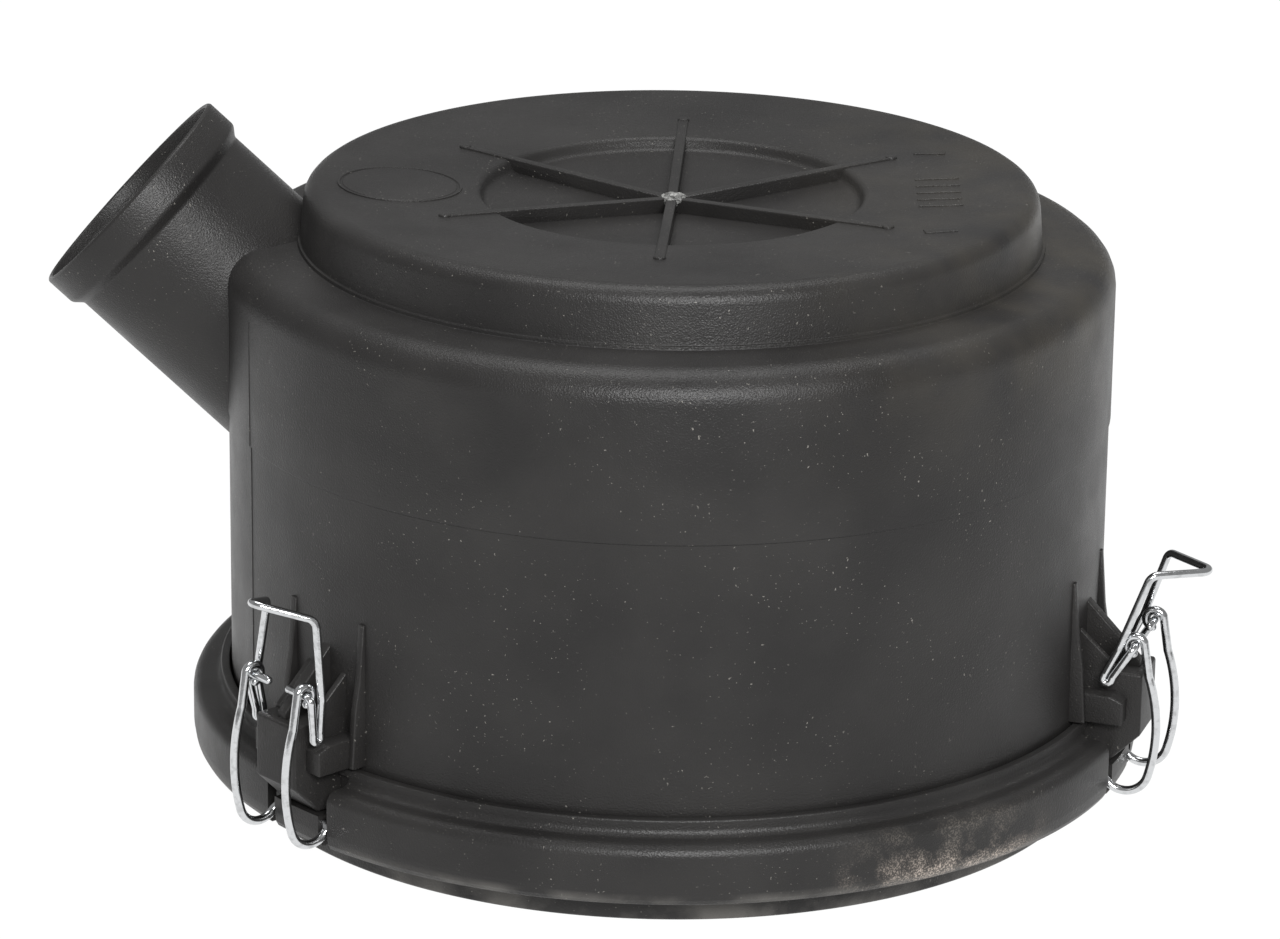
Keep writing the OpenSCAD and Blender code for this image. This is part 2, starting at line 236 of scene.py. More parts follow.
def lathe(outline, segments=SEGMENTS):
    """Solid of revolution about Z from a closed outline of radius and height."""
    turns = [2 * pi * k / segments for k in range(segments)]
    rings = []
    for r, z in outline:
        rings.append([(0, 0, z)] if r < 1e-6 else [(r * cos(a), r * sin(a), z) for a in turns])
    return solid(rings)


def plate(outline, low, high, bevel=0.4):
    """Plate in the x-z plane between two places along y, with rounded rims."""
    shape = bmesh.new()
    near = [shape.verts.new(Vector((x, low, z)) * MM) for x, z in outline]
    far = [shape.verts.new(Vector((x, high, z)) * MM) for x, z in outline]
    caps = [shape.faces.new(near), shape.faces.new(far[::-1])]
    for k in range(len(near)):
        n = (k + 1) % len(near)
        shape.faces.new((near[n], near[k], far[k], far[n]))
    bmesh.ops.recalc_face_normals(shape, faces=shape.faces)
    if bevel:
        rims = [edge for cap in caps for edge in cap.edges]
        bmesh.ops.bevel(shape, geom=rims, offset=bevel * MM, segments=3, profile=0.5, affect="EDGES")
    return shape


def wire(path, radius, sides=20):
    """Round wire along a path, with domed ends."""
    path = [Vector(p) for p in path]
    ahead = [(b - a).normalized() for a, b in zip(path, path[1:])]
    tangents = [ahead[0]] + [(a + b).normalized() for a, b in zip(ahead, ahead[1:])] + [ahead[-1]]
    side = tangents[0].orthogonal().normalized()
    rings = []
    for i, (place, tangent) in enumerate(zip(path, tangents)):
        if i:
            side = tangents[i - 1].rotation_difference(tangent) @ side
        side = (side - tangent * side.dot(tangent)).normalized()
        other = tangent.cross(side)
        domes = [(0, 1)]
        if i == 0:
            domes = [(-sin(a), cos(a)) for a in (radians(80), radians(55), radians(28), 0)]
        if i == len(path) - 1:
            domes = [(sin(a), cos(a)) for a in (0, radians(28), radians(55), radians(80))]
        for along, across in domes:
            centre = place + tangent * radius * along
            turns = [2 * pi * k / sides for k in range(sides)]
            rings.append([centre + (side * cos(a) + other * sin(a)) * radius * across for a in turns])
    rings.insert(0, [path[0] - tangents[0] * radius])
    rings.append([path[-1] + tangents[-1] * radius])
    return solid(rings)


def placed(shape, matrix):
    """The same shape moved by a matrix whose distances are in millimetres."""
    move = matrix.copy()
    move.translation *= MM
    bmesh.ops.transform(shape, matrix=move, verts=shape.verts)
    return shape


def joined(shapes):
    """One object of several shapes."""
    whole = bmesh.new()
    for shape in shapes:
        part = bpy.data.meshes.new("part")
        shape.to_mesh(part)
        whole.from_mesh(part)
        bpy.data.meshes.remove(part)
        shape.free()
    mesh = bpy.data.meshes.new("piece")
    whole.to_mesh(mesh)
    whole.free()
    piece = bpy.data.objects.new("piece", mesh)
    bpy.context.scene.collection.objects.link(piece)
    return piece


def combined(piece, operation, shapes):
    """Cuts shapes out of a piece, or adds them to it, and leaves one clean mesh."""
    for shape in shapes:
        tool = joined([shape])
        step = piece.modifiers.new("step", "BOOLEAN")
        step.operation = operation
        step.solver = "MANIFOLD"
        step.object = tool
        bpy.context.view_layer.update()
        result = bpy.data.meshes.new_from_object(piece.evaluated_get(bpy.context.evaluated_depsgraph_get()))
        piece.modifiers.clear()
        piece.data = result
        bpy.data.objects.remove(tool)
    return piece


def finished(piece, name, body, slot, material, *stands_for):
    """Names a piece, shades it, and lets it ride on its body."""
    piece.name = name
    piece.data.name = name
    mesh = piece.data
    mesh.materials.clear()
    mesh.materials.append(material)
    mesh.polygons.foreach_set("use_smooth", [True] * len(mesh.polygons))
    mesh.set_sharp_from_angle(angle=SHARP_ANGLE)
    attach(piece, body)
    if stands_for:
        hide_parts(*stands_for)
    return piece


# ---- Places ----

def clip_places():
    """For each clip its direction and the hinge and eye as distance out and height, from the joints."""
    places = {}
    for joint in frame["joints"]:
        kind, name = joint["name"].split("_")[:2]
        x, y, z = (value / MM for value in joint["pos_m"])
        place = places.setdefault(name, {})
        place[kind] = (hypot(x, y), z)
        if kind == "hook":
            place["turn"] = Matrix.Rotation(atan2(y, x), 4, "Z")
    return places


PLACES = clip_places()
TO_INLET = (
    Matrix.Rotation(radians(INLET_AZ), 4, "Z")
    @ Matrix.Translation((INLET_OUT, 0, INLET_Z))
    @ Matrix.Rotation(radians(90 - INLET_TILT), 4, "Y")
)


def face_height(r):
    """Height of the dished top at a distance from the axis."""
    crown_r = CROWN_TOP_R - CROWN_BEND
    return FACE_Z + (TOP_Z - FACE_Z) * (r - RECESS_R) / (crown_r - RECESS_R)


def on_face(x, y, turn=0):
    """Matrix that lays a small shape on the dished top."""
    r = hypot(x, y)
    slope = atan2(face_height(RECESS_R + 10) - FACE_Z, 10)
    lean = Matrix.Rotation(-slope, 4, Vector((-y, x, 0)).normalized())
    return Matrix.Translation((x, y, face_height(r))) @ lean @ Matrix.Rotation(radians(turn), 4, "Z")


# ---- Materials ----

class Look:
    """A Principled material and short calls that add nodes to it."""

    def __init__(self, name, color, roughness, metallic=0.0, specular=0.5):
        self.material = bpy.data.materials.new(name)
        self.material.use_nodes = True
        self.tree = self.material.node_tree
        self.shader = self.tree.nodes["Principled BSDF"]
        self.shader.inputs["Base Color"].default_value = (*color, 1)
        self.shader.inputs["Roughness"].default_value = roughness
        self.shader.inputs["Metallic"].default_value = metallic
        self.shader.inputs["Specular IOR Level"].default_value = specular
        self.place = self.add("ShaderNodeTexCoord").outputs["Object"]
        self.axes = self.add("ShaderNodeSeparateXYZ", {0: self.place}).outputs

    def add(self, kind, inputs=(), **settings):
        """New node. Each input is a value or the socket that feeds it."""
        node = self.tree.nodes.new(kind)
        for key, value in settings.items():
            setattr(node, key, value)
        for key, value in dict(inputs).items():
            if isinstance(value, bpy.types.NodeSocket):
                self.tree.links.new(value, node.inputs[key])
            else:
                node.inputs[key].default_value = value
        return node

    def noise(self, scale, detail=2.0, stretch=None):
        """Noise over the object's own coordinates."""
        place = self.place
        if stretch:
            place = self.add("ShaderNodeVectorMath", {0: place, 1: stretch}, operation="MULTIPLY").outputs[0]
        inputs = {"Vector": place, "Scale": scale, "Detail": detail}
        return self.add("ShaderNodeTexNoise", inputs).outputs["Fac"]

    def span(self, value, low, high, start=0.0, end=1.0):
        """A value's range from low to high, mapped to start and end."""
        inputs = {"Value": value, "From Min": low, "From Max": high, "To Min": start, "To Max": end}
        return self.add("ShaderNodeMapRange", inputs).outputs["Result"]

    def times(self, *values):
        """Product of values."""
        out = values[0]
        for value in values[1:]:
            out = self.add("ShaderNodeMath", {0: out, 1: value}, operation="MULTIPLY").outputs[0]
        return out

    def mix(self, share, first, second):
        """Blend of two colours."""
        inputs = {0: share, 6: first, 7: second}
        return self.add("ShaderNodeMix", inputs, data_type="RGBA").outputs[2]

    def bump(self, height, strength, distance, under=None):
        """Bumps of a distance in millimetres, on top of another normal where one is given."""
        inputs = {"Height": height, "Strength": strength, "Distance": distance * MM}
        if under:
            inputs["Normal"] = under
        return self.add("ShaderNodeBump", inputs).outputs["Normal"]

    def use(self, name, value):
        """Feeds one input of the shader."""
        self.tree.links.new(value, self.shader.inputs[name])


def grained_plastic(name, scuffed=False):
    """Black moulded plastic: fine grain, soft smudges, dust, a painted top light that lightens what faces up,
    and scuffs on a rim.
    """
    look = Look(name, (0.02, 0.0195, 0.019), 0.4, specular=0.28)
    blotches = look.noise(34, 4)
    dark, light = (0.0145, 0.0138, 0.0136, 1), (0.022, 0.021, 0.0203, 1)
    color = look.mix(look.span(blotches, 0.35, 0.68), dark, light)
    normal = look.add("ShaderNodeNewGeometry").outputs["Normal"]
    up = look.add("ShaderNodeSeparateXYZ", {0: normal}).outputs["Z"]
    # painted top light: surfaces that face up are painted a lighter grey
    painted_top_light = look.times(look.span(up, 0.3, 0.95), look.span(look.noise(16, 5), 0.3, 0.75), 0.5)
    color = look.mix(painted_top_light, color, (0.046, 0.0445, 0.0435, 1))
    right = look.span(look.axes["X"], 0.02, 0.1)
    high = look.span(look.axes["Z"], 0.1, 0.14)
    earth = look.times(right, high, look.span(look.noise(60, 6), 0.35, 0.7), 0.45)
    color = look.mix(earth, color, (0.075, 0.066, 0.05, 1))
    specks = look.times(look.span(look.noise(1500, 1), 0.725, 0.77), look.span(look.noise(45, 2), 0.4, 0.6))
    color = look.mix(look.times(specks, 0.8), color, (0.22, 0.21, 0.19, 1))
    if scuffed:
        x, y, z = (look.axes[axis] for axis in "XYZ")
        grit = look.span(look.noise(2400, 6), 0.48, 0.6, 0.16, 1)
        clouds = look.span(look.noise(150, 6), 0.4, 0.6)
        worn = look.times(look.span(x, 0.04, 0.058), look.span(x, 0.097, 0.08), look.span(y, -0.07, -0.085))
        low = look.times(worn, look.span(z, 0.018, 0.0105), look.span(z, 0.0082, 0.009), grit, clouds)
        high = look.times(worn, look.span(z, 0.012, 0.017), look.span(z, 0.024, 0.021), grit, clouds, 0.3)
        color = look.mix(low, color, (0.42, 0.36, 0.31, 1))
        color = look.mix(high, color, (0.24, 0.215, 0.185, 1))
        edge = look.times(look.span(z, 0.0115, 0.0095), look.span(look.noise(70, 4), 0.4, 0.62), 0.35)
        color = look.mix(edge, color, (0.2, 0.19, 0.175, 1))
    look.use("Base Color", color)
    look.use("Roughness", look.span(look.noise(70, 4), 0.3, 0.7, 0.34, 0.44))
    soft = look.bump(look.noise(420, 3), 0.12, 0.25)
    look.use("Normal", look.bump(look.noise(2300, 2), 0.9, 0.15, soft))
    return look.material


def gate_plastic():
    """Torn, whitened plastic where the moulding gate broke off."""
    look = Look("gate_vestige", (0.2, 0.2, 0.195), 0.45)
    torn = look.span(look.noise(700, 4), 0.35, 0.65)
    look.use("Base Color", look.mix(torn, (0.05, 0.05, 0.048, 1), (0.3, 0.3, 0.29, 1)))
    look.use("Normal", look.bump(look.noise(900, 4), 0.7, 0.5))
    return look.material


def zinc_wire():
    """Bright zinc-plated spring wire with faint drawing lines and dull spots."""
    look = Look("zinc_wire", (0.74, 0.75, 0.76), 0.24, metallic=1.0)
    spots = look.span(look.noise(520, 5), 0.5, 0.72)
    look.use("Base Color", look.mix(look.times(spots, 0.5), (0.66, 0.67, 0.68, 1), (0.3, 0.3, 0.3, 1)))
    look.use("Roughness", look.span(look.noise(900, 3), 0.3, 0.7, 0.08, 0.2))
    look.use("Normal", look.bump(look.noise(1600, 2), 0.1, 0.1))
    return look.material


def sheet_steel(name):
    """Galvanised steel, cloudy and slightly dull."""
    look = Look(name, (0.58, 0.59, 0.6), 0.38, metallic=1.0)
    clouds = look.span(look.noise(240, 3), 0.3, 0.7)
    look.use("Base Color", look.mix(clouds, (0.5, 0.51, 0.52, 1), (0.66, 0.67, 0.68, 1)))
    look.use("Roughness", look.span(look.noise(300, 3), 0.3, 0.7, 0.28, 0.5))
    return look.material


def black_rubber():
    """Matt black sealing rubber with a fine skin."""
    look = Look("seal_rubber", (0.018, 0.018, 0.018), 0.75, specular=0.3)
    look.use("Base Color", look.mix(look.noise(80, 4), (0.014, 0.014, 0.014, 1), (0.03, 0.03, 0.03, 1)))
    look.use("Normal", look.bump(look.noise(1500, 3), 0.25, 0.1))
    return look.material


def filter_paper():
    """Resin-soaked paper with fibres and faint flutes."""
    look = Look("filter_paper", (0.72, 0.66, 0.48), 0.85, specular=0.2)
    fibres = look.noise(700, 6, (1, 1, 0.35))
    look.use("Base Color", look.mix(look.span(fibres, 0.3, 0.7), (0.62, 0.55, 0.38, 1), (0.8, 0.74, 0.56, 1)))
    look.use("Normal", look.bump(fibres, 0.4, 0.2))
    return look.material


def foam(name, color, dark):
    """Soft moulded polyurethane skin with small pores."""
    look = Look(name, color, 0.7, specular=0.3)
    pores = look.add("ShaderNodeTexVoronoi", {"Vector": look.place, "Scale": 900.0}).outputs["Distance"]
    look.use("Base Color", look.mix(look.span(look.noise(110, 4), 0.35, 0.7), (*dark, 1), (*color, 1)))
    look.use("Normal", look.bump(pores, 0.35, 0.15))
    return look.material


def fleece():
    """White needle felt."""
    look = Look("needle_felt", (0.8, 0.79, 0.75), 0.95, specular=0.1)
    fibres = look.noise(1300, 8)
    look.use("Base Color", look.mix(fibres, (0.66, 0.65, 0.6, 1), (0.88, 0.87, 0.83, 1)))
    look.use("Normal", look.bump(fibres, 0.6, 0.4))
    return look.material


BOWL_PLASTIC = grained_plastic("bowl_plastic")
BASE_PLASTIC = grained_plastic("base_plastic", scuffed=True)
WIRE = zinc_wire()


# ---- Bowl ----

def bowl_outline():
    """Outer surface from the axis down to the foot, and back up inside."""
    crown_r = CROWN_TOP_R - CROWN_BEND
    return rounded([
        (0, RECESS_MID_Z),
        (RECESS_R - 1.6, RECESS_EDGE_Z, 2.2),
        (RECESS_R, FACE_Z, 2.2),
        (crown_r, TOP_Z),
        (CROWN_TOP_R + 0.1, TOP_Z, CROWN_BEND),
        (CROWN_FOOT_R, CROWN_FOOT_Z + 0.9, 0.3),
        (CROWN_FOOT_R + 0.6, CROWN_FOOT_Z + 0.9, 0.15),
        (CROWN_FOOT_R + 0.7, CROWN_FOOT_Z, 0.2),
        (UPPER_R, SHOULDER_Z, SHOULDER_BEND),
        (UPPER_R, STEP_Z + 0.3, 0.2),
        (WALL_R, STEP_Z, 0.15),
        (WALL_R, FOOT_Z, 0.5),
        (WALL_R - SHELL, FOOT_Z, 0.5),
        (WALL_R - SHELL, STEP_Z),
        (UPPER_R - SHELL, SHOULDER_Z - SHELL, SHOULDER_BEND - SHELL),
        (CROWN_FOOT_R - SHELL, CROWN_FOOT_Z - SHELL),
        (CROWN_TOP_R - SHELL, TOP_Z - SHELL, CROWN_BEND - SHELL),
        (RECESS_R + 1.5, FACE_Z - SHELL),
        (RECESS_R - 2, RECESS_EDGE_Z - SHELL),
        (HOLD_R, RECESS_MID_Z - SHELL + 1),
        (HOLD_R, HOLD_Z, 0.4),
        (HOLD_R - SHELL, HOLD_Z, 0.4),
        (HOLD_R - SHELL, RECESS_MID_Z - SHELL + 0.6),
        (0, RECESS_MID_Z - SHELL),
    ])


def bowl_hollow():
    """The room inside the bowl, as a solid."""
    return lathe(rounded([
        (0, RECESS_MID_Z - SHELL),
        (RECESS_R, RECESS_EDGE_Z - SHELL),
        (CROWN_TOP_R - SHELL, TOP_Z - SHELL, CROWN_BEND),
        (CROWN_FOOT_R - SHELL, CROWN_FOOT_Z - SHELL - 0.01),
        (UPPER_R - SHELL - 0.01, SHOULDER_Z - SHELL - 0.01, SHOULDER_BEND - SHELL),
        (WALL_R - SHELL - 0.01, FOOT_Z + 1),
        (0, FOOT_Z + 1),
    ]), 180)


def inlet_tube():
    """Tube with a hose collar at its mouth, which is at the origin and looks along +Z."""
    return lathe(rounded([
        (BORE_R, -TUBE_LEN),
        (TUBE_R, -TUBE_LEN),
        (TUBE_R, -COLLAR_LEN - 1.6, 1.4),
        (COLLAR_R, -COLLAR_LEN + 0.7, 2),
        (COLLAR_R, -0.3, 0.9),
        (COLLAR_R - 0.9, 0, 0.3),
        (MOUTH_R, -0.3, 0.3),
        (MOUTH_R - 0.3, -3, 1),
        (BORE_R, -12, 3),
    ]), 240)


def top_rib():
    """One rib along x, with a small round nose at its outer end."""
    outline = rounded([
        (0, RECESS_MID_Z - 1),
        (RECESS_R - 3, RECESS_EDGE_Z - 1),
        (RIB_LEN - 6, FACE_Z - 0.5),
        (RIB_LEN, FACE_Z - 0.5),
        (RIB_LEN, RIB_END_Z, 1.2),
        (0, RIB_HUB_Z),
    ])
    nose_r = RIB_HALF + 0.25
    nose = lathe(rounded([
        (0, FACE_Z - 1), (nose_r, FACE_Z - 1), (nose_r, RIB_END_Z + 0.1, 0.5), (0, RIB_END_Z + 0.1),
    ]), 32)
    nose = placed(nose, Matrix.Translation((RIB_LEN - RIB_HALF, 0, 0)))
    return joined([plate(outline, -RIB_HALF, RIB_HALF, 0.35), nose])


def catch_shapes():
    """Block, gusset, ears, cheeks and side ribs that one clip pulls down on."""
    low = POCKET_Z + 0.5
    block = rounded([
        (CATCH_ROOT, low), (CATCH_REACH - CATCH_BEVEL, low, 0.8), (CATCH_REACH, low + CATCH_BEVEL, 0.8),
        (CATCH_REACH, CATCH_TOP, 0.9), (CATCH_ROOT, CATCH_TOP),
    ])
    gusset = rounded([
        (CATCH_ROOT, CATCH_TOP - 1), (CATCH_REACH - 2, CATCH_TOP - 1),
        (CATCH_REACH - 2, CATCH_TOP + 1.6, 0.8), (CATCH_ROOT, CATCH_TOP + GUSSET_RISE),
    ])
    shapes = [plate(block, -CATCH_HALF, CATCH_HALF, 0.7), plate(gusset, -GUSSET_HALF, GUSSET_HALF, 0.4)]
    ear = rounded([
        (CATCH_ROOT, EAR_LOW_Z), (EAR_REACH, EAR_LOW_Z, 0.6), (EAR_REACH, LEDGE_Z - 1.4, 0.5),
        (EAR_REACH - 3.2, LEDGE_Z, 0.8), (CATCH_ROOT, LEDGE_Z),
    ])
    rib = rounded([
        (CATCH_ROOT, EAR_LOW_Z), (WALL_R + 3.2, EAR_LOW_Z, 0.5), (WALL_R + 2.2, LEDGE_Z + 7, 4),
        (WALL_R + 0.9, LEDGE_Z + 15, 8), (WALL_R - 0.25, SIDE_RIB_TOP), (CATCH_ROOT, SIDE_RIB_TOP),
    ])
    cheek = rounded([
        (CATCH_ROOT, CATCH_TOP - 1), (CHEEK_REACH, CATCH_TOP - 1),
        (CHEEK_REACH, CATCH_TOP + 0.6, 0.5), (CATCH_ROOT, CATCH_TOP + CHEEK_RISE),
    ])
    for side in (-1, 1):
        middle = side * (CATCH_HALF - 1)
        shapes.append(plate(cheek, middle - CHEEK_HALF, middle + CHEEK_HALF, 0.35))
        inner, outer = sorted((side * (CATCH_HALF - 1), side * EAR_HALF))
        shapes.append(plate(ear, inner, outer, 0.45))
        middle = side * (EAR_HALF + 0.6)
        shapes.append(plate(rib, middle - SIDE_RIB_HALF, middle + SIDE_RIB_HALF, 0.4))
    return shapes


def mark(x, y, length, width, turn=0, height=0.28):
    """Plain raised bar on the top."""
    half = length / 2
    outline = rounded([(-half, -0.6), (half, -0.6), (half, height, 0.15), (-half, height, 0.15)])
    return placed(plate(outline, -width / 2, width / 2, 0.12), on_face(x, y, turn))


def badge():
    """Plain round disc inside a thin raised ring."""
    ring = rounded([
        (0, 0.2), (14.1, 0.2, 0.1), (14.3, 0.02), (14.7, 0.02),
        (14.9, 0.3, 0.12), (15.5, 0.3, 0.12), (15.6, -0.8), (0, -0.8),
    ])
    return placed(lathe(ring, 120), on_face(*BADGE_PLACE))


def parting_line():
    """Faint ridge up the wall where the halves of the mould met."""
    lower, upper = WALL_R + PARTING_RISE, UPPER_R + PARTING_RISE
    ridge = [
        (WALL_R - 0.5, PARTING_LOW_Z), (lower, PARTING_LOW_Z + 0.5), (lower, STEP_Z),
        (upper, STEP_Z + 0.4), (upper, PARTING_TOP_Z), (UPPER_R - 0.5, PARTING_TOP_Z + 0.5),
    ]
    turn = Matrix.Rotation(radians(PARTING_AZ), 4, "Z")
    return placed(plate(ridge, -PARTING_HALF, PARTING_HALF, 0.08), turn)


def gate_vestige():
    """Torn stub where the ribs meet."""
    shape = bmesh.new()
    bmesh.ops.create_icosphere(shape, subdivisions=5, radius=1)
    for vert in shape.verts:
        rough = noise.fractal(vert.co * 2.2, 1.0, 2.0, 5)
        reach = GATE_R * (1 + 0.28 * rough)
        flat = 0.42 if vert.co.z > 0 else 0.8
        vert.co = Vector((vert.co.x, vert.co.y, vert.co.z * flat)) * reach * MM
    return placed(shape, Matrix.Translation((0.4, -0.6, RIB_HUB_Z - 0.1)))


def make_bowl():
    """Shell, inlet tube, ribs, catches and the raised shapes on the top."""
    shell = joined([lathe(bowl_outline())])
    bore = lathe([(0, -76), (BORE_R - 0.01, -76), (BORE_R - 0.01, 4), (0, 4)], 240)
    combined(shell, "DIFFERENCE", [placed(bore, TO_INLET)])
    finished(shell, "bowl_shell", "root", "housing_plastic", BOWL_PLASTIC, "bowl")
    tube = joined([placed(inlet_tube(), TO_INLET)])
    combined(tube, "DIFFERENCE", [bowl_hollow()])
    finished(tube, "inlet_tube", "root", "housing_plastic", BOWL_PLASTIC)
    for i in range(RIB_COUNT):
        rib = top_rib()
        rib.data.transform(Matrix.Rotation(radians(RIB_TURN + 360 * i / RIB_COUNT), 4, "Z"))
        finished(rib, f"top_rib_{i + 1}", "root", "housing_plastic", BOWL_PLASTIC)
    for name in CLIPS:
        catch = joined([placed(shape, PLACES[name]["turn"]) for shape in catch_shapes()])
        finished(catch, f"catch_{name}", "root", "housing_plastic", BOWL_PLASTIC)
    marks = [mark(BAR_X, y, BAR_LEN, BAR_WIDTH) for y in BAR_YS]
    marks += [mark(65, -38, 8, 3, 8), mark(65, 32, 8, 2.2, -6)]
    finished(joined(marks), "top_marks", "root", "housing_plastic", BOWL_PLASTIC)
    finished(joined([badge()]), "top_badge", "root", "housing_plastic", BOWL_PLASTIC)
    finished(joined([parting_line()]), "parting_line", "root", "housing_plastic", BOWL_PLASTIC)
    finished(joined([gate_vestige()]), "gate_vestige", "root", "housing_plastic", gate_plastic())


# ---- Base ----

def base_outline():
    """From the outlet neck out under the ring, around the rim, and back inside over the floor."""
    return rounded([
        (NECK_IN, 0, 0.4),
        (RING_R, 0, 0.8),
        (RING_R, RING_H, 0.3),
        (LIP_OUT, RING_H, 0.3),
        (LIP_OUT, RIM_TOP - RIM_WEB, 0.5),
        (RIM_R - SKIRT, RIM_TOP - RIM_WEB, 0.5),
        (RIM_R - SKIRT, RING_H, 0.4),
        (RIM_R - 1.2, RING_H, 0.5),
        (RIM_R - 0.4, RING_H + 1.4, 0.8),
        (RIM_R, RING_H + 4, 3),
        (RIM_R, RIM_TOP, RIM_BEND),
        (LIP_OUT, RIM_TOP, 2),
        (LIP_OUT, LIP_Z, 0.5),
        (LIP_IN, LIP_Z, 0.4),
        (LIP_IN, CHANNEL_Z),
        (GUIDE_R, CHANNEL_Z),
        (GUIDE_R, GUIDE_Z, 0.5),
        (GUIDE_R - SHELL, GUIDE_Z, 0.5),
        (GUIDE_R - SHELL, FLOOR, 1.5),
        (NECK_OUT, FLOOR, 1.5),
        (NECK_OUT, NECK_H, 0.6),
        (NECK_IN, NECK_H, 0.6),
    ])


def box_shape(u0, u1, t0, t1, z0, z1):
    """Sharp-edged block between two places outwards, sideways and upwards."""
    return plate([(u0, z0), (u1, z0), (u1, z1), (u0, z1)], t0, t1, 0)


def clip_cuts(place):
    """Pocket for the catch, slots for the two arms and the bore of the hinge bar."""
    far = RIM_R + 3
    wide = HOOK_HALF + SLOT_HALF
    slot_in = LIP_OUT - 1
    shapes = [
        box_shape(WALL_R - 2, far, -POCKET_HALF, POCKET_HALF, POCKET_Z, LIP_Z + 1),
        box_shape(slot_in, far, -wide, wide, POCKET_Z, RIM_TOP + 2),
    ]
    for side in (-1, 1):
        middle = side * HOOK_HALF
        low, high = middle - SLOT_HALF, middle + SLOT_HALF
        shapes.append(box_shape(slot_in, far, low, high, RING_H - 1, POCKET_Z + 1))
    hinge_u, hinge_z = place["hook"]
    bore_r = HOOK_WIRE + 0.06
    bore = lathe([(0, -HOOK_HALF), (bore_r, -HOOK_HALF), (bore_r, HOOK_HALF), (0, HOOK_HALF)], 32)
    turn = Matrix.Translation((hinge_u, 0, hinge_z)) @ Matrix.Rotation(radians(90), 4, "X")
    shapes.append(placed(bore, turn))
    return [placed(shape, place["turn"]) for shape in shapes]


def make_base():
    """Lathed pan and rim with three hinge lugs, their pockets and slots, and four screw bosses."""
    base = joined([lathe(base_outline())])
    envelope = joined([lathe(rounded([
        (LIP_OUT - 2, RING_H), (RIM_R - 1.25, RING_H, 0.5), (RIM_R - 0.45, RING_H + 1.4, 0.8),
        (RIM_R - 0.05, RING_H + 4, 3), (RIM_R - 0.05, RIM_TOP - RIM_BEND), (LIP_OUT - 2, RIM_TOP - RIM_BEND),
    ]))])
    lugs = []
    for name in CLIPS:
        lug = box_shape(LIP_IN + 1, RIM_R, -HOOK_HALF, HOOK_HALF, RING_H + 0.05, POCKET_Z + 1)
        lugs.append(placed(lug, PLACES[name]["turn"]))
    block = joined(lugs)
    step = bmesh.new()
    step.from_mesh(envelope.data)
    combined(block, "INTERSECT", [step])
    bpy.data.objects.remove(envelope)
    fill = bmesh.new()
    fill.from_mesh(block.data)
    bpy.data.objects.remove(block)
    combined(base, "UNION", [fill])
    for name in CLIPS:
        combined(base, "DIFFERENCE", clip_cuts(PLACES[name]))
    for k in range(BOLT_COUNT):
        turn = Matrix.Rotation(radians(BOLT_TURN + 360 * k / BOLT_COUNT), 4, "Z")
        at_bolt = turn @ Matrix.Translation((BOLT_R, 0, 0))
        boss = lathe(rounded([(0, 1), (BOSS_R, 1), (BOSS_R, BOSS_H, 0.6), (0, BOSS_H)]), 64)
        hole = lathe([(0, -1), (SLEEVE_R, -1), (SLEEVE_R, BOSS_H + 1), (0, BOSS_H + 1)], 64)
        combined(base, "UNION", [placed(boss, at_bolt)])
        combined(base, "DIFFERENCE", [placed(hole, at_bolt)])
    finished(base, "base_pan", "root", "housing_plastic", BASE_PLASTIC, "base")


# ---- Clips ----

def circle_points(u, z, r, start, end, steps):
    """Points of an arc in the u-z plane."""
    turns = [start + (end - start) * k / steps for k in range(steps + 1)]
    return [(u + r * cos(a), z + r * sin(a)) for a in turns]


def hook_arm(place):
    """Half of a hook in the u-z plane, from the hinge bar up to the curl of the eye."""
    hinge_u, hinge_z = place["hook"]
    eye_u, eye_z = place["handle"]
    arc_u = eye_u - HOOK_ARC * cos(EYE_ANGLE)
    end_u = arc_u + (HOOK_ARC - HOOK_END_ARC) * cos(HOOK_LOW_ANGLE)
    end_z = HOOK_MID_Z + (HOOK_ARC - HOOK_END_ARC) * sin(HOOK_LOW_ANGLE)
    low = circle_points(end_u, end_z, HOOK_END_ARC, HOOK_END_ANGLE, HOOK_LOW_ANGLE, 24)
    neck_angle = EYE_ANGLE - EYE_NECK / HOOK_ARC
    long = circle_points(arc_u, HOOK_MID_Z, HOOK_ARC, HOOK_LOW_ANGLE, neck_angle, 36)
    side = EYE_ANGLE - EYE_CURL_START
    curl = circle_points(eye_u, eye_z, EYE_RING, side, side + EYE_CURL, 28)
    return low + long[1:] + curl


def finish_wire(kind, name, path, radius, move):
    """Draws a clip's wire along a path and lets it stand for the CAD node of the same kind."""
    node = f"{kind}_{name}"
    piece = joined([placed(wire(path, radius), move)])
    finished(piece, f"{node}_wire", node, "clip_wire", WIRE, node)


def make_hook(name):
    """Hook: two bowed arms with curled eyes, joined by the hinge bar at the bottom."""
    place = PLACES[name]
    arm = hook_arm(place)
    halves = {side: [(u, side * HOOK_HALF, z) for u, z in arm] for side in (-1, 1)}
    corners = [(*halves[-1][0], HOOK_CORNER), (*halves[1][0], HOOK_CORNER)]
    path = rounded(halves[-1][:0:-1] + corners + halves[1][1:], closed=False)
    finish_wire("hook", name, path, HOOK_WIRE, place["turn"])


